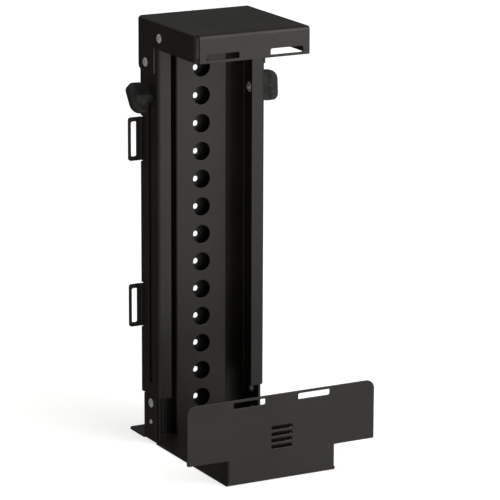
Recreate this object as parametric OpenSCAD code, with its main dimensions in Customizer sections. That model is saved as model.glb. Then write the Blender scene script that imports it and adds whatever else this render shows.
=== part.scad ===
// Height-adjustable computer holder: a wall column with a foot tray, a hood that slides up on two side
// rails, and a clamp knob on each side. Folded steel sheet, blind rivets, two thumb screws.
// Millimetres. X to the right, Y to the back, Z up, origin under the middle of the tray.

/* [Overall] */
// Height with the hood fully down
height_down = 310;      // [290:1:340]
// How far the hood and its rails can rise
rail_travel = 206;      // [150:1:210]
// Thickness of the folded steel sheet
sheet = 1.5;            // [1.2:0.1:2]
// Outside radius of every fold
fold_r = 2.5;           // [2:0.1:3.5]

/* [Column] */
// Outside width of the back channel
channel_w = 82.4;       // [70:0.2:100]
// Front edge of the channel's side walls, from the wall plane
channel_d = 24;         // [20:0.1:24]
// Height of the channel's side walls, where the hood's rivets need no room
channel_side_h = 267;   // [262:1:270]
// Height of the back panel and of the access channel
column_h = 302;         // [290:1:304]
// Width of the access channel's front face
access_w = 41;          // [36:0.5:50]
// Front face of the access channel, from the wall plane
access_d = 11;          // [9:0.1:12]
// Width of each side brim of the access channel
access_brim = 8;        // [6:0.5:12]
// Thickness of the access channel
access_sheet = 1.2;     // [1:0.1:1.5]

/* [Wall screws] */
// Number of screw positions up the column
screw_rows = 13;        // [5:1:13]
// Distance between screw positions
screw_pitch = 20.32;    // [16:0.02:21]
// Height of the lowest screw position
screw_first = 26.9;     // [24:0.1:30]
// Diameter of each screw hole in the back panel
screw_hole_d = 4.2;     // [4:0.1:5.5]
// How far each screw hole sits below the middle of its screwdriver hole
screw_drop = 1.8;       // [0:0.1:2.5]
// Diameter of each screwdriver hole in the access channel
access_hole_d = 13.4;   // [11:0.1:15]

/* [Tray] */
// Tray floor in front of the wall plane
tray_d = 133;           // [110:0.5:150]
// Tray floor behind the wall plane
tail_d = 22;            // [10:0.5:30]
// Width of the front panel's upper part
panel_w = 147.4;        // [120:0.2:160]
// Height of the front panel
panel_h = 62;           // [50:0.5:70]
// Height where the front panel widens
panel_step = 19.2;      // [15:0.1:22]
// Radius of the front panel's top corners
panel_r = 6;            // [3:0.5:8]
// Number of louvres in the front panel
vent_rows = 4;          // [2:1:4]

/* [Rails and hood] */
// Front face of the rails, from the wall plane
rail_d = 26.7;          // [26.7:0.1:30]
// Width of each rail's front flange
rail_flange = 10.7;     // [8:0.1:14]
// Bottom end of the rails with the hood down
rail_bottom = 35;       // [34:0.5:40]
// Depth of the hood from the wall plane
hood_d = 91.5;          // [80:0.5:110]
// Height of the hood's side and front lips
lip_h = 19.6;           // [17:0.1:24]
// Height of the hood's two riveted ears
ear_h = 38;             // [36:0.5:40]

/* [Straps and knobs] */
// Length of every strap slot
strap_slot = 25.4;      // [20:0.1:26]
// Width of every strap slot
strap_gap = 4.4;        // [4.2:0.1:4.8]
// Thread diameter of the clamp screws
screw_d = 4;            // [4:0.1:4.2]
// Height of a knob's wings, end to end
wing_span = 22.4;       // [18:0.1:22.4]
// Thickness of a knob's wings
wing_t = 5.6;           // [4:0.1:6]
// Turn of the left knob from upright, top towards the back
left_tilt = 34;         // [0:1:60]
// Turn of the right knob from upright
right_tilt = 4;         // [0:1:60]

/* [Hidden] */
$fn = 72;
paint = [0.06, 0.06, 0.06];
aluminium = [0.75, 0.75, 0.76];
zinc = [0.62, 0.62, 0.6];
plastic = [0.05, 0.05, 0.05];
over = 1;
rear_y = (tray_d - tail_d) / 2;
fold_in = fold_r - sheet;
slide_gap = 0.3;

chan_x = channel_w / 2;
chan_in = chan_x - sheet;
column_z = sheet;
notch_y = 6;
line_y = 14;
access_r = access_sheet + 0.3;

floor_half = chan_x + sheet;
tail_r = 3;
ear_y = [3.2, 22];
ear_top = 34.4;
relief = 0.6;
return_d = 5.5;
panel_low_r = 1.2;
slot_r = 1.2;
panel_slot_x = 25.5;
panel_slot_z = panel_h - 4;
vent_w = 16.6;
vent_h = 2.8;
vent_r = 0.6;
vent_pitch = 4.6;
vent_z = 24.2;
louvre_d = 2.6;
louvre_t = 0.7;
louvre_drop = 0.8;
louvre_root = 0.1;

rail_in = chan_x + slide_gap;
rail_x = rail_in + sheet;
rail_fold = 3;
rail_top = height_down - sheet - 1;
brace_d = 42.5;
tab_h = 31.5;
tab_out = 53.2;
tab_r = 2;
tab_slot_x = 49;
tab_z = [99.7, 221.6];
notch_d = 2.9;
notch_h = 0.8;

hood_x = rail_x + sheet;
lip_z = height_down - lip_h;
lip_half = hood_x - 1.7;
side_lip_d = hood_d - fold_r - 2.4;
brace_z = lip_z + 1.6;
hood_ear_d = 24;
hood_ear_z = height_down - ear_h;
hood_ear_r = 4;
hood_slot_x = 24.9;
hood_slot_z = lip_z + 4;

rivet_r = 1.6;
rivet_hole_r = 1.65;
rivet_head_r = 3.25;
rivet_head_h = 1.4;
rivet_tail_r = 2.6;
rivet_tail_h = 1.6;
mandrel_r = 0.9;
mandrel_h = 0.6;
foot_y = 14.5;
foot_rivet_z = 29.3;
foot_pin_z = 15.2;
pin_head_h = 1.2;
hood_rivet_low = [11.2, hood_ear_z + 6.5];
hood_rivet_high = [33, height_down - 11.3];

clamp_z = 253.9;
screw_gap = 0.05;
screw_clear = 0.3;
screw_tip = 0.6;
slot_w = screw_d + 0.8;
slot_low = clamp_z - rail_travel - 1;
slot_high = clamp_z + 1;
nut_t = 3.2;
nut_af = 7;
washer_r = 6;
washer_t = 0.9;
washer_gap = 0.1;
screw_in = chan_in - nut_t - 1.6;

knob_x = rail_x + washer_gap + washer_t;
screw_out = knob_x + 8;
knob_len = 14.7;
wing_root = 2.6;
wing_r_large = 7.5;
wing_r_small = 5;
wing_r_root = 3.2;
hub_r = [5.2, 4.3];
hub_len = 9;
dish_r = 9;
dish_depth = 1.3;
dish_x = 5;
dish_z = 6.8;
half_turn = 180;

// Local frame used below: y is the distance in front of the wall plane.
module from_wall() {
    translate([0, rear_y, 0]) mirror([0, 1, 0]) children();
}

// Everything is drawn on the right and mirrored for the left.
module on_side(left) {
    if (left) mirror([1, 0, 0]) children();
    if (!left) children();
}

// Quarter of a folded sheet's section, curving between the +x and +y directions.
module fold(r, t) {
    intersection() {
        difference() {
            circle(r = r);
            circle(r = r - t);
        }
        square(r);
    }
}

// Rectangle with all four corners rounded.
module rounded(w, h, r) {
    translate([-w / 2 + r, -h / 2]) square([w - 2 * r, h]);
    translate([-w / 2, -h / 2 + r]) square([w, h - 2 * r]);
    for (sx = [-1, 1])
        for (sy = [-1, 1])
            translate([sx * (w / 2 - r), sy * (h / 2 - r)]) circle(r = r);
}

// What a corner at x, y loses when it is rounded; sx and sy point out of the shape.
module corner_waste(x, y, sx, sy, r) {
    translate([x - sx * r, y - sy * r]) scale([sx, sy]) difference() {
        square(r + over);
        circle(r = r);
    }
}

// A slot with round ends, lying along x.
module slot_2d(length, width) {
    square([length - width, width], center = true);
    for (s = [-1, 1])
        translate([s * (length - width) / 2, 0]) circle(d = width);
}

// Section drawn in x and y, run upwards from z0 to z1.
module run_z(z0, z1) {
    translate([0, 0, z0]) linear_extrude(z1 - z0) children();
}

// Section drawn in x and z, run forwards from y0 to y1.
module run_y(y0, y1) {
    translate([0, y1, 0]) rotate([90, 0, 0]) linear_extrude(y1 - y0) children();
}

// Section drawn in y and z, run sideways from x0 to x1.
module run_x(x0, x1) {
    translate([x0, 0, 0]) rotate([90, 0, 90]) linear_extrude(x1 - x0) children();
}

// Round hole or shaft along x through the point y, z.
module bore_x(r, x0, x1, y, z) {
    translate([x0, y, z]) rotate([0, 90, 0]) cylinder(r = r, h = x1 - x0);
}

// Round hole along y.
module bore_y(r, y0, y1, x, z) {
    translate([x, y1, z]) rotate([90, 0, 0]) cylinder(r = r, h = y1 - y0);
}

module channel_half() {
    square([chan_x - fold_r, sheet]);
    translate([chan_x - fold_r, fold_r]) mirror([0, 1, 0]) fold(fold_r, sheet);
    translate([chan_in, fold_r]) square([sheet, channel_d - fold_r]);
}

module back_channel() {
    color(paint) from_wall() difference() {
        for (left = [false, true])
            on_side(left) run_z(column_z, column_h) channel_half();
        // notched at the bottom round the folds of the tray's ears
        for (left = [false, true])
            on_side(left) translate([chan_in - over, ear_y[0] - relief, column_z - over])
                cube([sheet + 2 * over, channel_d, fold_r - column_z + over]);
        // notched at the top so the hood's rivets clear the side walls
        for (left = [false, true])
            on_side(left) translate([chan_in - over, notch_y, channel_side_h])
                cube([sheet + 2 * over, channel_d, column_h]);
        for (i = [0 : screw_rows - 1])
            bore_y(screw_hole_d / 2, -over, sheet + over,
                0, screw_first - screw_drop + i * screw_pitch);
        for (left = [false, true]) {
            on_side(left)
                bore_x(screw_d / 2 + screw_clear, chan_in - over, chan_x + over, line_y, clamp_z);
            for (z = [foot_pin_z, foot_rivet_z])
                on_side(left) bore_x(rivet_hole_r, chan_in - over, chan_x + over, foot_y, z);
        }
    }
}

// Half of the access channel's section: front face, side web and brim.
module access_half() {
    half = access_w / 2;
    r = access_r;
    translate([0, access_d - access_sheet]) square([half - r, access_sheet]);
    translate([half - r, access_d - r]) fold(r, access_sheet);
    translate([half - access_sheet, sheet + r])
        square([access_sheet, access_d - sheet - 2 * r]);
    translate([half + r - access_sheet, sheet + r]) rotate(180) fold(r, access_sheet);
    translate([half + r - access_sheet, sheet])
        square([access_brim - r + access_sheet, access_sheet]);
}

module access_channel() {
    color(paint) from_wall() difference() {
        for (left = [false, true])
            on_side(left) run_z(column_z, column_h) access_half();
        for (i = [0 : screw_rows - 1])
            bore_y(access_hole_d / 2, sheet + access_sheet + over, access_d + over,
                0, screw_first + i * screw_pitch);
    }
}

// Rectangle from z0 to z1 with one radius on its lower corners and another on its upper ones.
module plate_2d(w, z0, z1, r_low, r_high) {
    half = w / 2;
    translate([-half, z0 + r_low]) square([w, z1 - z0 - r_low - r_high]);
    translate([-half + r_low, z0]) square([w - 2 * r_low, r_low + over]);
    translate([-half + r_high, z1 - r_high - over]) square([w - 2 * r_high, r_high + over]);
    for (s = [-1, 1]) {
        translate([s * (half - r_low), z0 + r_low]) circle(r = r_low);
        translate([s * (half - r_high), z1 - r_high]) circle(r = r_high);
    }
}

module panel_face() {
    difference() {
        union() {
            translate([-floor_half + fold_r, fold_r])
                square([2 * (floor_half - fold_r), panel_step + panel_low_r - fold_r]);
            plate_2d(panel_w, panel_step, panel_h, panel_low_r, panel_r);
        }
        for (s = [-1, 1])
            translate([s * panel_slot_x, panel_slot_z]) rounded(strap_slot, strap_gap, slot_r);
        for (i = [0 : vent_rows - 1])
            translate([0, vent_z + i * vent_pitch]) rounded(vent_w, vent_h, vent_r);
    }
}

// Edge of the panel's lower part, folded back over the floor.
module panel_return() {
    run_z(fold_r, panel_step) translate([floor_half - fold_r, tray_d - fold_r]) fold(fold_r, sheet);
    run_z(sheet / 2, panel_step - relief)
        translate([floor_half - sheet, tray_d - return_d]) square([sheet, return_d - fold_r]);
}

// Scoop pressed out behind a vent: it drops from the slot's upper edge and is open at the bottom.
module louvre(z) {
    high = vent_h / 2;
    low = -high - louvre_drop;
    foot = [louvre_root, high + louvre_t];
    back = [[-louvre_d, low + louvre_t], [-louvre_d, low]];
    translate([0, tray_d - sheet, z]) {
        run_x(-vent_w / 2, vent_w / 2)
            polygon([foot, each back, [louvre_t - louvre_d, low], [louvre_root, high]]);
        for (s = [0, 1])
            mirror([s, 0, 0]) run_x(vent_w / 2 - louvre_t, vent_w / 2)
                polygon([foot, each back, [louvre_root, -high]]);
    }
}

module floor_face() {
    difference() {
        translate([-floor_half, -tail_d]) square([2 * floor_half, tray_d - fold_r + tail_d]);
        for (s = [-1, 1]) {
            corner_waste(s * floor_half, -tail_d, s, -1, tail_r);
            // relief cuts at both ends of each ear's fold
            for (y = ear_y)
                translate([s * floor_half, y]) square([2 * fold_r, 2 * relief], center = true);
            translate([s * (floor_half - fold_r / 2 + over / 2), (ear_y[0] + ear_y[1]) / 2])
                square([fold_r + over, ear_y[1] - ear_y[0]], center = true);
        }
    }
}

// Ear folded up from the floor's side edge, outside the channel.
module floor_ear() {
    run_y(ear_y[0], ear_y[1]) {
        translate([floor_half - fold_r, fold_r]) mirror([0, 1]) fold(fold_r, sheet);
        translate([chan_x, fold_r]) square([sheet, ear_top - fold_r]);
    }
}

module base_tray() {
    color(paint) from_wall() difference() {
        union() {
            run_z(0, sheet) floor_face();
            run_x(-floor_half, floor_half)
                translate([tray_d - fold_r, fold_r]) mirror([0, 1]) fold(fold_r, sheet);
            run_y(tray_d - sheet, tray_d) panel_face();
            for (left = [false, true])
                on_side(left) {
                    floor_ear();
                    panel_return();
                }
            for (i = [0 : vent_rows - 1])
                louvre(vent_z + i * vent_pitch);
        }
        for (left = [false, true])
            for (z = [foot_pin_z, foot_rivet_z])
                on_side(left) bore_x(rivet_hole_r, chan_x - over, floor_half + over, foot_y, z);
    }
}

// Section drawn with x as radius and y as distance along the axis, turned about an axis along x.
module turn_x(y, z) {
    translate([0, y, z]) rotate([0, 90, 0]) rotate_extrude() children();
}

// Half section of a domed head that stands h proud of the line y = 0.
module dome_2d(r, h) {
    dome_r = (r * r + h * h) / (2 * h);
    intersection() {
        square([r, h]);
        translate([0, h - dome_r]) circle(r = dome_r);
    }
}

// Blind rivet: upset tail inside, shank, and a domed head with the mandrel's pocket in it.
module rivet(x_in, x_out, y, z) {
    color(aluminium) from_wall() turn_x(y, z) difference() {
        union() {
            translate([0, x_in - rivet_tail_h]) square([rivet_tail_r, rivet_tail_h]);
            translate([0, x_in]) square([rivet_r, x_out - x_in]);
            translate([0, x_out]) dome_2d(rivet_head_r, rivet_head_h);
        }
        translate([-over, x_out + rivet_head_h - mandrel_h]) square([mandrel_r + over, over]);
    }
}

module foot_rivet(left) {
    on_side(left) rivet(chan_in, floor_half, foot_y, foot_rivet_z);
}

// Locating pin below the foot rivet, with a small domed end.
module foot_pin(left) {
    color(zinc) on_side(left) from_wall() turn_x(foot_y, foot_pin_z) {
        translate([0, chan_in]) square([rivet_r, 2 * sheet]);
        translate([0, floor_half]) dome_2d(rivet_r, pin_head_h);
    }
}

module hood_rivet(left, p) {
    on_side(left) rivet(rail_in, hood_x, p[0], p[1]);
}

module weld_nut(left) {
    color(zinc) on_side(left) from_wall() difference() {
        translate([chan_in - nut_t, line_y, clamp_z]) rotate([0, 90, 0])
            cylinder(d = nut_af / cos(30), h = nut_t, $fn = 6);
        bore_x(screw_d / 2 + screw_gap, chan_in - nut_t - over, chan_in + over, line_y, clamp_z);
    }
}

module rail_wall() {
    difference() {
        union() {
            square([rail_d - rail_fold, rail_top - rail_bottom]);
            // brace under the hood
            translate([rail_d - rail_fold, brace_z - rail_bottom])
                square([brace_d - rail_d + rail_fold, rail_top - brace_z]);
        }
        // the strap tabs fold out of the back edge, between two relief cuts
        for (z = tab_z)
            translate([-over, z - rail_bottom - tab_h / 2])
                square([fold_r + over, tab_h]);
        for (z = tab_z)
            for (s = [-1, 1])
                translate([-over, z - rail_bottom + s * (tab_h + notch_h) / 2 - notch_h / 2])
                    square([notch_d + over, notch_h]);
    }
}

module rail_tab(z) {
    root = rail_x + fold_in;
    run_z(z - tab_h / 2, z + tab_h / 2)
        translate([root, fold_r]) rotate(180) fold(fold_r, sheet);
    run_y(0, sheet) difference() {
        union() {
            translate([root, z - tab_h / 2]) square([tab_out - root - tab_r, tab_h]);
            translate([root, z - tab_h / 2 + tab_r]) square([tab_out - root, tab_h - 2 * tab_r]);
            for (s = [-1, 1])
                translate([tab_out - tab_r, z + s * (tab_h / 2 - tab_r)]) circle(r = tab_r);
        }
        translate([tab_slot_x, z]) rounded(strap_gap, strap_slot, slot_r);
    }
}

module rail(left) {
    color(paint) on_side(left) from_wall() difference() {
        union() {
            run_x(rail_in, rail_x) translate([0, rail_bottom]) rail_wall();
            run_z(rail_bottom, lip_z) {
                translate([rail_x - rail_fold, rail_d - rail_fold]) fold(rail_fold, sheet);
                translate([rail_x - rail_flange, rail_d - sheet])
                    square([rail_flange - rail_fold, sheet]);
            }
            for (z = tab_z)
                rail_tab(z);
        }
        // the long slot that runs past the clamp screw
        run_x(rail_in - over, rail_x + over)
            translate([line_y, (slot_low + slot_high) / 2]) rotate(90)
                slot_2d(slot_high - slot_low + slot_w, slot_w);
        for (p = [hood_rivet_low, hood_rivet_high])
            bore_x(rivet_hole_r, rail_in - over, rail_x + over, p[0], p[1]);
    }
}

module hood_side() {
    difference() {
        union() {
            translate([0, hood_ear_z]) square([hood_ear_d, ear_h - fold_r]);
            translate([0, lip_z]) square([side_lip_d, lip_h - fold_r]);
        }
        corner_waste(0, hood_ear_z, -1, -1, hood_ear_r);
    }
}

module hood() {
    top_half = hood_x - fold_r;
    top_z = height_down - fold_r;
    color(paint) from_wall() difference() {
        union() {
            translate([-top_half, 0, height_down - sheet])
                cube([2 * top_half, hood_d - fold_r, sheet]);
            for (left = [false, true])
                on_side(left) {
                    run_y(0, side_lip_d) translate([top_half, top_z]) fold(fold_r, sheet);
                    run_x(rail_x, hood_x) hood_side();
                }
            run_x(-lip_half, lip_half)
                translate([hood_d - fold_r, top_z]) fold(fold_r, sheet);
            run_y(hood_d - sheet, hood_d)
                translate([-lip_half, lip_z]) square([2 * lip_half, lip_h - fold_r]);
        }
        for (s = [-1, 1])
            run_y(hood_d - sheet - over, hood_d + over)
                translate([s * hood_slot_x, hood_slot_z]) rounded(strap_slot, strap_gap, slot_r);
        for (left = [false, true])
            for (p = [hood_rivet_low, hood_rivet_high])
                on_side(left) bore_x(rivet_hole_r, rail_x - over, hood_x + over, p[0], p[1]);
    }
}

module clamp_screw(left) {
    color(zinc) on_side(left) from_wall() {
        bore_x(screw_d / 2, screw_in + screw_tip, screw_out, line_y, clamp_z);
        translate([screw_in, line_y, clamp_z]) rotate([0, 90, 0])
            cylinder(r1 = screw_d / 2 - screw_tip, r2 = screw_d / 2, h = screw_tip);
    }
}

module washer(left) {
    color(zinc) on_side(left) from_wall() difference() {
        bore_x(washer_r, rail_x + washer_gap, knob_x, line_y, clamp_z);
        bore_x(screw_d / 2 + screw_clear, rail_x, knob_x + over, line_y, clamp_z);
    }
}

// The wings' outline. The outer corner of one wing is rounder than that of the other.
module wing_outline() {
    half = wing_span / 2;
    difference() {
        translate([wing_root, -half]) square([knob_len - wing_root, wing_span]);
        corner_waste(knob_len, half, 1, 1, wing_r_large);
        corner_waste(knob_len, -half, 1, -1, wing_r_small);
        for (s = [-1, 1])
            corner_waste(wing_root, s * half, -1, s, wing_r_root);
    }
}

// Wing knob along +x: two wings and a tapered hub, with shallow thumb dishes on all four faces.
module knob_solid() {
    difference() {
        union() {
            intersection() {
                run_y(-wing_t / 2, wing_t / 2) wing_outline();
                rotate([0, 90, 0]) cylinder(d = wing_span, h = knob_len + over);
            }
            rotate([0, 90, 0]) cylinder(r1 = hub_r[0], r2 = hub_r[1], h = hub_len);
            translate([hub_len, 0, 0]) sphere(r = hub_r[1]);
        }
        for (s = [-1, 1])
            for (t = [-1, 1])
                translate([dish_x, s * (wing_t / 2 + dish_r - dish_depth), t * dish_z])
                    sphere(r = dish_r);
    }
}

module knob(left, tilt) {
    color(plastic) on_side(left) from_wall() difference() {
        translate([knob_x, line_y, clamp_z]) rotate([tilt, 0, 0]) knob_solid();
        bore_x(screw_d / 2 + screw_gap, knob_x - over, screw_out + screw_tip, line_y, clamp_z);
    }
}

back_channel();
access_channel();
base_tray();
foot_pin(true);  // foot_pin_left
foot_pin(false);  // foot_pin_right
foot_rivet(true);  // foot_rivet_left
foot_rivet(false);  // foot_rivet_right
weld_nut(true);  // weld_nut_left
weld_nut(false);  // weld_nut_right
rail(true);  // rail_left
rail(false);  // rail_right
hood();
hood_rivet(true, hood_rivet_low);  // hood_rivet_left_low
hood_rivet(true, hood_rivet_high);  // hood_rivet_left_high
hood_rivet(false, hood_rivet_low);  // hood_rivet_right_low
hood_rivet(false, hood_rivet_high);  // hood_rivet_right_high
clamp_screw(true);  // clamp_screw_left
clamp_screw(false);  // clamp_screw_right
washer(true);  // washer_left
washer(false);  // washer_right
knob(true, left_tilt + half_turn);  // knob_left
knob(false, right_tilt);  // knob_right
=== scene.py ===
"""Looks of the computer holder: powder-coated sheet, blind rivets, clamp screws and moulded knobs."""
import math

import bmesh
import bpy
from mathutils import Matrix, Vector


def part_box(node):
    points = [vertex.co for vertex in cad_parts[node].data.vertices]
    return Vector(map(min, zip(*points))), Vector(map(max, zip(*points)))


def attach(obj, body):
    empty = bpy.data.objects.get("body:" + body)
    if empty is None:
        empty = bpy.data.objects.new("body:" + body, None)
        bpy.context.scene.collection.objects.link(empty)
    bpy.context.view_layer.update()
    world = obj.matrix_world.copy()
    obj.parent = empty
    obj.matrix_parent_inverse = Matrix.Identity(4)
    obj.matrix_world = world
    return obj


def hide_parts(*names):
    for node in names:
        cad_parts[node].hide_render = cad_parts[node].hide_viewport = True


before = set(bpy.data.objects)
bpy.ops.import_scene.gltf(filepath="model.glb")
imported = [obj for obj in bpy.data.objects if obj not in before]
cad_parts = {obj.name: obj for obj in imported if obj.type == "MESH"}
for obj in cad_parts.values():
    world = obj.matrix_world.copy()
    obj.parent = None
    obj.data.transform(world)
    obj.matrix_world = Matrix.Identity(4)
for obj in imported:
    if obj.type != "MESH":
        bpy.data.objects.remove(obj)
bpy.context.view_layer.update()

MM = 0.001
LOWER = "lower_section"
UPPER = "upper_section"
SIDES = {"left": -1, "right": 1}
SHEET_NODES = ("back_channel", "access_channel", "base_tray", "rail_left", "rail_right", "hood")


# ---------------------------------------------------------------- camera, floor and light

def make_camera():
    """Long lens, a little above the hood and to the holder's left."""
    azimuth = math.radians(-28.125)
    elevation = math.radians(14.245)
    roll = math.radians(0.203)
    distance = 2.32126
    aim = Vector((0.0109, -0.0089, 0.1478))
    away = Vector((math.sin(azimuth) * math.cos(elevation),
                   -math.cos(azimuth) * math.cos(elevation),
                   math.sin(elevation)))
    data = bpy.data.cameras.new("camera")
    data.lens = 236.85
    data.sensor_width = 36
    data.clip_start = 0.05
    data.clip_end = 100
    camera = bpy.data.objects.new("camera", data)
    camera.rotation_mode = "QUATERNION"
    turn = away.to_track_quat("Z", "Y") @ Matrix.Rotation(roll, 4, "Z").to_quaternion()
    camera.rotation_quaternion = turn
    camera.location = aim + distance * away
    bpy.context.scene.collection.objects.link(camera)
    bpy.context.scene.camera = camera


def make_sun(name, direction, strength, spread_deg, colour=(1, 1, 1)):
    """Soft light from far away, from the given direction."""
    data = bpy.data.lights.new(name, "SUN")
    data.energy = strength
    data.angle = math.radians(spread_deg)
    data.color = colour
    lamp = bpy.data.objects.new(name, data)
    lamp.rotation_mode = "QUATERNION"
    lamp.rotation_quaternion = Vector(direction).to_track_quat("Z", "Y")
    lamp.location = Vector(direction).normalized() * 3
    bpy.context.scene.collection.objects.link(lamp)


def make_softbox(name, place, aim, size, power):
    """Rectangular studio light."""
    data = bpy.data.lights.new(name, "AREA")
    data.shape = "RECTANGLE"
    data.size, data.size_y = size
    data.energy = power
    lamp = bpy.data.objects.new(name, data)
    lamp.location = place
    lamp.rotation_mode = "QUATERNION"
    lamp.rotation_quaternion = (Vector(place) - Vector(aim)).to_track_quat("Z", "Y")
    bpy.context.scene.collection.objects.link(lamp)


def make_world():
    """Studio round the object: bright in front, dim behind, so the dark paint keeps its shape."""
    front = Vector((0.42, -0.85, -0.35)).normalized()
    dim, bright = 0.04, 0.60
    world = bpy.data.worlds.new("studio")
    world.use_nodes = True
    tree = world.node_tree
    tree.nodes.clear()
    out = tree.nodes.new("ShaderNodeOutputWorld")
    background = tree.nodes.new("ShaderNodeBackground")
    coords = tree.nodes.new("ShaderNodeTexCoord")
    facing = tree.nodes.new("ShaderNodeVectorMath")
    facing.operation = "DOT_PRODUCT"
    facing.inputs[1].default_value = front
    level = tree.nodes.new("ShaderNodeMapRange")
    level.interpolation_type = "SMOOTHSTEP"
    level.inputs["From Min"].default_value = -0.1
    level.inputs["From Max"].default_value = 0.75
    level.inputs["To Min"].default_value = dim
    level.inputs["To Max"].default_value = bright
    tree.links.new(coords.outputs["Generated"], facing.inputs[0])
    tree.links.new(facing.outputs["Value"], level.inputs["Value"])
    tree.links.new(level.outputs["Result"], background.inputs["Strength"])
    background.inputs["Color"].default_value = (1.0, 0.965, 0.92, 1)
    tree.links.new(background.outputs["Background"], out.inputs["Surface"])
    bpy.context.scene.world = world


def make_floor():
    """Pale seamless paper, wide enough to fill every view from above."""
    half = 15
    mesh = bpy.data.meshes.new("floor")
    corners = [(-half, -half, 0), (half, -half, 0), (half, half, 0), (-half, half, 0)]
    mesh.from_pydata(corners, [], [(0, 1, 2, 3)])
    floor = bpy.data.objects.new("floor", mesh)
    bpy.context.scene.collection.objects.link(floor)
    paint = Paint("paper")
    mottle = paint.noise(scale=3, detail=3)
    paint.colour(mottle, (0.90, 0.90, 0.90), (0.93, 0.93, 0.925))
    paint.set("Roughness", 0.85)
    paint.set("Specular IOR Level", 0.1)
    paint.set("Emission Color", (1.0, 1.0, 0.995, 1))
    paint.set("Emission Strength", 0.66)
    mesh.materials.append(paint.material)
    # Keeps the bright paper out of the reflections in the glossy paint.
    floor.visible_glossy = False


# ---------------------------------------------------------------- materials

class Paint:
    """A Principled material with short ways to feed its sockets. Coordinates are the object's, in metres."""

    def __init__(self, name):
        self.material = bpy.data.materials.new(name)
        self.material.use_nodes = True
        self.tree = self.material.node_tree
        self.shader = next(n for n in self.tree.nodes if n.type == "BSDF_PRINCIPLED")
        self.coords = self.tree.nodes.new("ShaderNodeTexCoord")

    def add(self, kind, **values):
        node = self.tree.nodes.new(kind)
        for key, value in values.items():
            setattr(node, key, value)
        return node

    def link(self, source, target):
        self.tree.links.new(source, target)

    def set(self, socket, value):
        self.shader.inputs[socket].default_value = value

    def place(self, stretch=(1, 1, 1)):
        """Object coordinates, scaled per axis."""
        mapping = self.add("ShaderNodeMapping")
        mapping.inputs["Scale"].default_value = stretch
        self.link(self.coords.outputs["Object"], mapping.inputs["Vector"])
        return mapping.outputs["Vector"]

    def noise(self, scale, detail=2, roughness=0.5, stretch=(1, 1, 1)):
        node = self.add("ShaderNodeTexNoise")
        node.inputs["Scale"].default_value = scale
        node.inputs["Detail"].default_value = detail
        node.inputs["Roughness"].default_value = roughness
        self.link(self.place(stretch), node.inputs["Vector"])
        return node.outputs["Fac"]

    def ramp(self, source, low, high, to_low=0.0, to_high=1.0):
        """Smooth step between two levels of a source."""
        node = self.add("ShaderNodeMapRange", interpolation_type="SMOOTHSTEP")
        for key, value in (("From Min", low), ("From Max", high), ("To Min", to_low), ("To Max", to_high)):
            node.inputs[key].default_value = value
        self.link(source, node.inputs["Value"])
        return node.outputs["Result"]

    def math(self, operation, a, b):
        node = self.add("ShaderNodeMath", operation=operation)
        for socket, value in zip(node.inputs, (a, b)):
            if isinstance(value, (int, float)):
                socket.default_value = value
            else:
                self.link(value, socket)
        return node.outputs["Value"]

    def mix(self, factor, a, b):
        """Colour a where the factor is 0, b where it is 1. Each is a colour or a node's output."""
        node = self.add("ShaderNodeMix", data_type="RGBA")
        self.link(factor, node.inputs[0])
        for socket, value in ((node.inputs[6], a), (node.inputs[7], b)):
            if isinstance(value, tuple):
                socket.default_value = (*value, 1)
            else:
                self.link(value, socket)
        return node.outputs[2]

    def colour(self, factor, a, b):
        self.link(self.mix(factor, a, b), self.shader.inputs["Base Color"])

    def bump(self, layers):
        """Each layer is a height source and its depth in mm. Layers stack into one normal."""
        normal = None
        for height, depth in layers:
            node = self.add("ShaderNodeBump")
            node.inputs["Distance"].default_value = depth * MM
            self.link(height, node.inputs["Height"])
            if normal is not None:
                self.link(normal, node.inputs["Normal"])
            normal = node.outputs["Normal"]
        self.link(normal, self.shader.inputs["Normal"])

    def axis(self, name):
        split = self.add("ShaderNodeSeparateXYZ")
        self.link(self.coords.outputs["Object"], split.inputs["Vector"])
        return split.outputs[name]


def powder_coat(name, low, high, gloss):
    """Near-black satin powder coat: fine grain, orange peel, and slow clouds of colour and gloss."""
    paint = Paint(name)
    cloud = paint.ramp(paint.noise(scale=16, detail=5, roughness=0.6), 0.32, 0.68)
    grain = paint.noise(scale=2400, detail=2)
    peel = paint.noise(scale=420, detail=1)
    speck = paint.ramp(paint.noise(scale=900, detail=1), 0.66, 0.74)
    tone = paint.mix(cloud, low, high)
    light_speck = tuple(2.2 * part for part in high)
    paint.colour(paint.math("MULTIPLY", speck, 0.5), tone, light_speck)
    gloss_cloud = paint.ramp(paint.noise(scale=34, detail=4), 0.3, 0.7, gloss - 0.025, gloss + 0.03)
    grain_rough = paint.ramp(grain, 0.3, 0.7, -0.03, 0.03)
    paint.link(paint.math("ADD", gloss_cloud, grain_rough), paint.shader.inputs["Roughness"])
    paint.bump([(peel, 0.03), (grain, 0.006)])
    return paint


def rubbed_coat(name, low, high, gloss):
    """Powder coat polished in upright streaks where the rails run over the column's side walls."""
    paint = powder_coat(name, low, high, gloss)
    streak = paint.ramp(paint.noise(scale=1, detail=4, stretch=(900, 900, 9)), 0.5, 0.66)
    wall_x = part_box("back_channel")[1].x
    from_middle = paint.math("ABSOLUTE", paint.axis("X"), 0)
    outside = paint.ramp(from_middle, wall_x - 0.2 * MM, wall_x - 0.05 * MM)
    rubbed = paint.math("MULTIPLY", streak, outside)
    base = paint.shader.inputs["Base Color"]
    tone = base.links[0].from_socket
    polished = tuple(1.8 * part for part in high)
    paint.link(paint.mix(paint.math("MULTIPLY", rubbed, 0.7), tone, polished), base)
    rough = paint.shader.inputs["Roughness"]
    level = rough.links[0].from_socket
    paint.link(paint.math("SUBTRACT", level, paint.math("MULTIPLY", rubbed, 0.12)), rough)
    return paint


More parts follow.
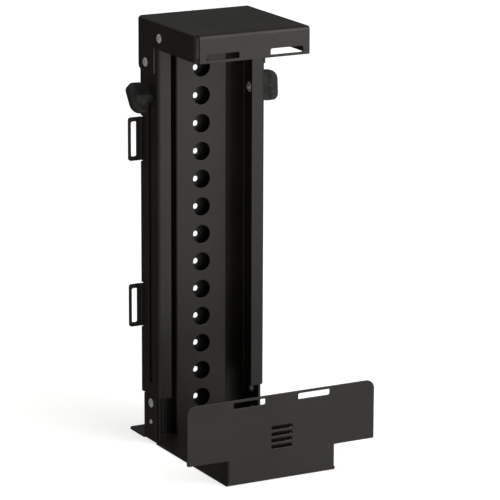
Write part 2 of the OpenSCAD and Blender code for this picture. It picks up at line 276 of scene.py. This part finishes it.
def plated_metal(name, low, high, gloss):
    """Plated or pressed metal with a faint mottle and fine scratches."""
    paint = Paint(name)
    mottle = paint.ramp(paint.noise(scale=700, detail=4, roughness=0.65), 0.35, 0.65)
    scratch = paint.noise(scale=1, detail=2, stretch=(500, 9000, 9000))
    paint.colour(mottle, low, high)
    paint.set("Metallic", 0.7)
    rough = paint.ramp(scratch, 0.3, 0.7, gloss - 0.06, gloss + 0.08)
    paint.link(rough, paint.shader.inputs["Roughness"])
    paint.bump([(mottle, 0.012), (scratch, 0.004)])
    return paint


def moulded_plastic(name):
    """Matt black nylon with a spark-eroded texture and slightly polished high spots."""
    paint = Paint(name)
    texture = paint.noise(scale=1900, detail=3, roughness=0.6)
    cloud = paint.ramp(paint.noise(scale=120, detail=3), 0.3, 0.7)
    paint.colour(cloud, (0.010, 0.010, 0.0095), (0.016, 0.016, 0.0152))
    paint.link(paint.ramp(texture, 0.3, 0.7, 0.56, 0.70), paint.shader.inputs["Roughness"])
    paint.set("Specular IOR Level", 0.36)
    paint.bump([(texture, 0.03)])
    return paint


COAT_LOW = (0.0078, 0.0069, 0.0055)
COAT_HIGH = (0.0115, 0.0101, 0.0080)
COAT_GLOSS = 0.42
coat = powder_coat("black_powder_coat", COAT_LOW, COAT_HIGH, COAT_GLOSS).material
coat_rubbed = rubbed_coat("black_powder_coat_rubbed", COAT_LOW, COAT_HIGH, COAT_GLOSS).material
# Lighter, glossier coat on the rounded edges: partly thin coat worn at the edges, partly a painted highlight
# along them.
coat_edge_wear_and_highlight = powder_coat("powder_coat_edge_wear_and_highlight", (0.018, 0.017, 0.015), (0.030, 0.028, 0.025), 0.34).material
aluminium = plated_metal("rivet_aluminium", (0.72, 0.72, 0.73), (0.88, 0.88, 0.88), 0.33).material
mandrel_steel = plated_metal("mandrel_steel", (0.16, 0.155, 0.15), (0.30, 0.29, 0.28), 0.48).material
zinc = plated_metal("zinc_plate", (0.64, 0.64, 0.61), (0.84, 0.84, 0.82), 0.2).material
bright_steel = plated_metal("bright_steel", (0.74, 0.74, 0.73), (0.88, 0.88, 0.87), 0.18).material
black_oxide = plated_metal("black_oxide", (0.035, 0.034, 0.032), (0.075, 0.072, 0.068), 0.42).material
nylon = moulded_plastic("black_nylon").material


# ---------------------------------------------------------------- CAD nodes: materials and soft edges

def keep_inside(node):
    """Holds what the modifiers make inside the box of the node's own mesh."""
    points = [vertex.co for vertex in node.data.vertices]
    group = bpy.data.node_groups.new(node.name + "_box", "GeometryNodeTree")
    for way in ("INPUT", "OUTPUT"):
        group.interface.new_socket("Geometry", in_out=way, socket_type="NodeSocketGeometry")
    source = group.nodes.new("NodeGroupInput").outputs[0]
    place = group.nodes.new("GeometryNodeInputPosition").outputs[0]
    for operation, pick in (("MAXIMUM", min), ("MINIMUM", max)):
        limit = group.nodes.new("ShaderNodeVectorMath")
        limit.operation = operation
        limit.inputs[1].default_value = [pick(point[i] for point in points) for i in range(3)]
        group.links.new(place, limit.inputs[0])
        place = limit.outputs[0]
    move = group.nodes.new("GeometryNodeSetPosition")
    group.links.new(source, move.inputs["Geometry"])
    group.links.new(place, move.inputs["Position"])
    group.links.new(move.outputs[0], group.nodes.new("NodeGroupOutput").inputs[0])
    node.modifiers.new("box", "NODES").node_group = group


def soften_edges(node, width, edge_slot):
    """Rounds the sharp edges of a CAD node with modifiers. Its mesh stays as it is."""
    weld = node.modifiers.new("weld", "WELD")
    weld.merge_threshold = 0.01 * MM
    planar = node.modifiers.new("planar", "DECIMATE")
    planar.decimate_type = "DISSOLVE"
    planar.angle_limit = math.radians(0.4)
    bevel = node.modifiers.new("bevel", "BEVEL")
    bevel.width = width
    bevel.segments = 2
    bevel.limit_method = "ANGLE"
    bevel.angle_limit = math.radians(40)
    bevel.use_clamp_overlap = False
    bevel.harden_normals = False
    bevel.material = edge_slot
    keep_inside(node)
    normals = node.modifiers.new("normals", "WEIGHTED_NORMAL")
    normals.mode = "FACE_AREA"
    normals.weight = 100
    normals.keep_sharp = False


def dress(node_name, materials, width):
    """Gives a CAD node its materials. The last one also covers the rounded edges, where its lighter colour is
    partly a painted highlight.
    """
    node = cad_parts[node_name]
    node.data.materials.clear()
    for material in materials:
        node.data.materials.append(material)
    soften_edges(node, width, len(materials) - 1)


for name in SHEET_NODES:
    dress(name, [coat_rubbed if name == "back_channel" else coat, coat_edge_wear_and_highlight], 0.22 * MM)
for side in SIDES:
    dress("foot_pin_" + side, [zinc], 0.12 * MM)
    dress("weld_nut_" + side, [zinc], 0.3 * MM)
    dress("washer_" + side, [black_oxide], 0.12 * MM)


# ---------------------------------------------------------------- new pieces

def skin_rings(name, rings, material, sharp_deg):
    """Closed solid through a row of rings of equal length, with both ends filled from a middle point."""
    bm = bmesh.new()
    loops = [[bm.verts.new(point) for point in ring] for ring in rings]
    count = len(loops[0])
    for a, b in zip(loops, loops[1:]):
        for i in range(count):
            j = (i + 1) % count
            bm.faces.new((a[i], a[j], b[j], b[i]))
    for loop in (loops[0], loops[-1]):
        middle = bm.verts.new(sum((v.co for v in loop), Vector()) / count)
        for i in range(count):
            bm.faces.new((loop[i], loop[(i + 1) % count], middle))
    bmesh.ops.recalc_face_normals(bm, faces=bm.faces)
    mesh = bpy.data.meshes.new(name)
    bm.to_mesh(mesh)
    bm.free()
    mesh.polygons.foreach_set("use_smooth", [True] * len(mesh.polygons))
    mesh.set_sharp_from_angle(angle=math.radians(sharp_deg))
    mesh.materials.append(material)
    piece = bpy.data.objects.new(name, mesh)
    bpy.context.scene.collection.objects.link(piece)
    return piece


def circle_x(x, radius, centre, count):
    """Points of a circle about an axis along X."""
    turns = (2 * math.pi * i / count for i in range(count))
    return [Vector((x, centre.y + radius * math.cos(t), centre.z + radius * math.sin(t))) for t in turns]


def lathe_x(name, profile, start, direction, centre, material, count=40, sharp_deg=30):
    """Solid turned about X. The profile holds (distance outwards from start, radius) pairs in mm."""
    rings = [circle_x(start + direction * d * MM, r * MM, centre, count) for d, r in profile]
    return skin_rings(name, rings, material, sharp_deg)


def arc(centre, radius, first_deg, last_deg, steps):
    """Profile points along an arc. 0 degrees is outwards along the axis, 90 is away from it."""
    points = []
    for i in range(steps + 1):
        t = math.radians(first_deg + (last_deg - first_deg) * i / steps)
        points.append((centre[0] + radius * math.cos(t), centre[1] + radius * math.sin(t)))
    return points


def blind_rivet(node_name, body, direction):
    """Set blind rivet: upset tail round the mandrel's head, shank, and a flange with the broken mandrel."""
    low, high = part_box(node_name)
    centre = (low + high) / 2
    inner = low.x if direction > 0 else high.x
    length = (high.x - low.x) / MM
    head_r = (high.y - low.y) / 2 / MM - 0.01
    head_h, tail_h, tail_r = 1.4, 1.6, 2.55
    pocket_r, pocket_floor = 0.95, length - 0.72
    rim = 0.28
    base = length - head_h
    tail = [(0.75, 1.0), (0.5, 1.2), (0.42, 1.45), (0.48, 1.8)]
    tail += arc((0.95, tail_r - 0.5), 0.5, 150, 60, 5) + [(tail_h, tail_r - 0.2)]
    shank = [(tail_h, 1.58), (base, 1.58)]
    flange = [(base, head_r - 0.05)] + arc((base + rim, head_r - rim), rim, 120, 45, 4)
    crown = []
    crown_steps, crown_outer, crown_inner = 6, head_r - 0.45, 1.35
    for i in range(1, crown_steps + 1):
        r = crown_outer - (crown_outer - crown_inner) * i / crown_steps
        crown.append((base + 0.5 + (head_h - 0.52) * (1 - (r / head_r) ** 2) ** 0.7, r))
    lip = [(length - 0.02, 1.2), (length - 0.08, 1.02),
           (length - 0.25, pocket_r), (pocket_floor, pocket_r - 0.03)]
    profile = tail + shank + flange + crown + lip + [(pocket_floor, 0.3)]
    piece = lathe_x(node_name + "_set", profile, inner, direction, centre, aluminium)
    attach(piece, body)
    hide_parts(node_name)
    stub = [(pocket_floor + 0.02, 0.4), (pocket_floor + 0.02, 0.8), (pocket_floor + 0.3, 0.82),
            (pocket_floor + 0.44, 0.72), (pocket_floor + 0.4, 0.5), (pocket_floor + 0.52, 0.2)]
    ball_h, ball_r = 1.25, 1.2
    ball = [(ball_h - ball_h * math.cos(t), ball_r * math.sin(t)) for t in (0.1, 0.3, 0.5, 0.7, 0.9, 1.1)]
    ball.append((0.8, 0.9))
    for part, outline, metal in (("mandrel", stub, mandrel_steel), ("mandrel_head", ball, bright_steel)):
        mandrel = lathe_x("{}_{}".format(node_name, part), outline, inner, direction, centre, metal, count=24)
        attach(mandrel, body)


def thread_height(phase):
    """Height of a 60 degree thread with flattened crest and root, from 0 to 1, over one pitch."""
    return min(1.0, max(0.0, 1.35 * (1 - abs(2 * phase - 1)) - 0.12))


def clamp_screw(side, direction):
    """M4 screw with its helical thread and a domed tip."""
    node_name = "clamp_screw_" + side
    low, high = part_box(node_name)
    centre = (low + high) / 2
    inner = low.x if direction > 0 else high.x
    length = (high.x - low.x) / MM
    crest, depth, pitch, tip = 1.98, 0.38, 0.7, 1.1
    around, per_pitch = 36, 10
    steps = int(length / pitch * per_pitch)
    rings = []
    for k in range(steps + 1):
        along = length * k / steps
        ring = []
        for i in range(around):
            turn = i / around
            phase = (along / pitch - direction * turn) % 1.0
            r = crest - depth + depth * thread_height(phase)
            r = min(r, 0.2 + (crest - 0.2) * math.sqrt(1 - (1 - min(1.0, along / tip)) ** 2))
            angle = 2 * math.pi * turn
            ring.append(Vector((inner + direction * along * MM,
                                centre.y + r * MM * math.cos(angle),
                                centre.z + r * MM * math.sin(angle))))
        rings.append(ring)
    piece = skin_rings(node_name + "_thread", rings, zinc, 40)
    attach(piece, side + "_clamp")
    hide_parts(node_name)


def moulded_knob(side):
    """Wing knob with soft moulded edges, grown from the CAD knob by a fine remesh and a smoothing."""
    node_name = "knob_" + side
    piece = bpy.data.objects.new(node_name + "_moulded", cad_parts[node_name].data.copy())
    bpy.context.scene.collection.objects.link(piece)
    weld = piece.modifiers.new("weld", "WELD")
    weld.merge_threshold = 0.01 * MM
    remesh = piece.modifiers.new("remesh", "REMESH")
    remesh.mode = "VOXEL"
    remesh.voxel_size = 0.26 * MM
    smooth = piece.modifiers.new("smooth", "SMOOTH")
    smooth.factor = 0.5
    smooth.iterations = 9
    depsgraph = bpy.context.evaluated_depsgraph_get()
    mesh = bpy.data.meshes.new_from_object(piece.evaluated_get(depsgraph))
    piece.modifiers.clear()
    piece.data = mesh
    mesh.materials.clear()
    mesh.materials.append(nylon)
    mesh.polygons.foreach_set("use_smooth", [True] * len(mesh.polygons))
    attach(piece, side + "_clamp")
    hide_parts(node_name)


for side, direction in SIDES.items():
    blind_rivet("foot_rivet_" + side, LOWER, direction)
    for level in ("low", "high"):
        blind_rivet("hood_rivet_{}_{}".format(side, level), UPPER, direction)
    clamp_screw(side, direction)
    moulded_knob(side)

make_camera()
make_world()
make_floor()
make_sun("key", (0.75, -0.8, 1.25), 1.0, 60, (1.0, 0.97, 0.92))
make_sun("back_fill", (-0.5, 0.9, 1.5), 0.45, 60)
make_sun("back_low", (0.42, 0.85, 0.35), 0.05, 50)
make_softbox("front_strip", (1.1, -1.7, 0.9), (0, 0, 0.15), (0.5, 1.4), 6)
make_softbox("low_front", (0.45, -1.0, 0.36), (0, 0, 0.22), (0.8, 0.45), 2.0)

scene = bpy.context.scene
scene.view_settings.view_transform = "Standard"
scene.view_settings.look = "None"
